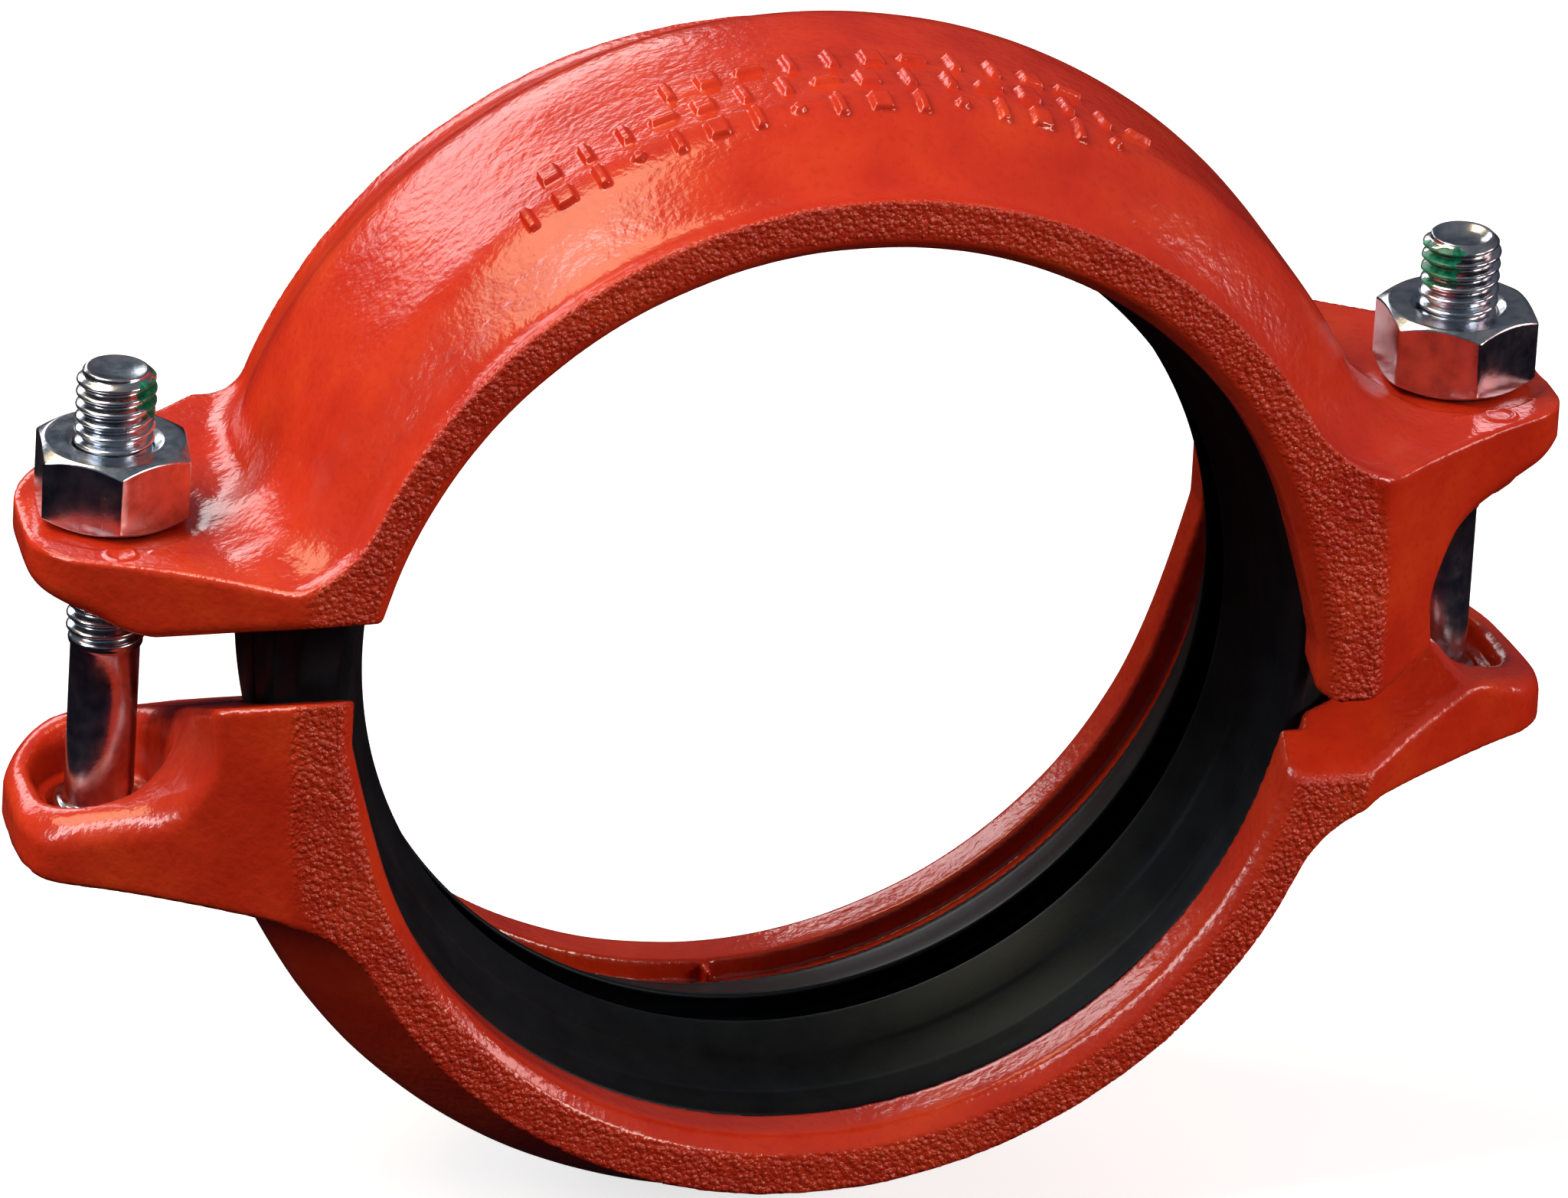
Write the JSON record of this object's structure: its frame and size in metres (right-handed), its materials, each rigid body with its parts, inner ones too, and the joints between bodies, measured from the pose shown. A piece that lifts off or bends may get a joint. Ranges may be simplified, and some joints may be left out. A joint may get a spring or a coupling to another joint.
{
  "type": "grooved pipe coupling",
  "caption": "Rigid grooved pipe coupling: split cast housing round a C-section rubber gasket, closed by track-head bolts and heavy hex nuts, shown loosely assembled.",
  "frame": {"origin": "on the pipe axis, midway along the housings and midway between the two halves as supplied", "axes": "+Y along the pipe, +Z along the bolts towards the nuts, +X across to the right-hand bolt, the one with the higher nut"},
  "size_m": [0.1898, 0.0574, 0.1432],
  "materials": {
    "upper_paint": "glossy orange-red enamel over a sand-cast surface",
    "lower_paint": "glossy orange-red enamel over a sand-cast surface",
    "gasket_rubber": "matte black moulded rubber",
    "bolt_zinc": "bright blue-white zinc plate",
    "nut_zinc": "bright blue-white zinc plate",
    "patch_green": "green nylon thread-locking patch"
  },
  "bodies": {
    "lower_body": {"lower_housing": "lower_paint", "gasket": "gasket_rubber", "left_track_bolt": "bolt_zinc", "right_track_bolt": "bolt_zinc", "left_thread_patch": "patch_green", "right_thread_patch": "patch_green"},
    "upper_body": {"upper_housing": "upper_paint"},
    "left_nut": {"left_hex_nut": "nut_zinc"},
    "right_nut": {"right_hex_nut": "nut_zinc"}
  },
  "joints": [
    {"name": "housing_slide", "type": "slide", "parent": "lower_body", "child": "upper_body", "axis": [0, 0, 1], "range_m": [-0.0082, 0.003], "deforming": ["gasket"]},
    {"name": "left_nut_turn", "type": "hinge", "parent": "upper_body", "child": "left_nut", "pos_m": [-0.0826, 0, 0.0182], "axis": [0, 0, 1], "range_deg": [-1870, 690]},
    {"name": "right_nut_turn", "type": "hinge", "parent": "upper_body", "child": "right_nut", "pos_m": [0.0826, 0, 0.0242], "axis": [0, 0, 1], "range_deg": [-1870, 690]}
  ],
  "couplings": [
    {"joint": "left_nut_turn", "follows": "housing_slide", "rad_per_m": 3957.9},
    {"joint": "right_nut_turn", "follows": "housing_slide", "rad_per_m": 3957.9}
  ]
}
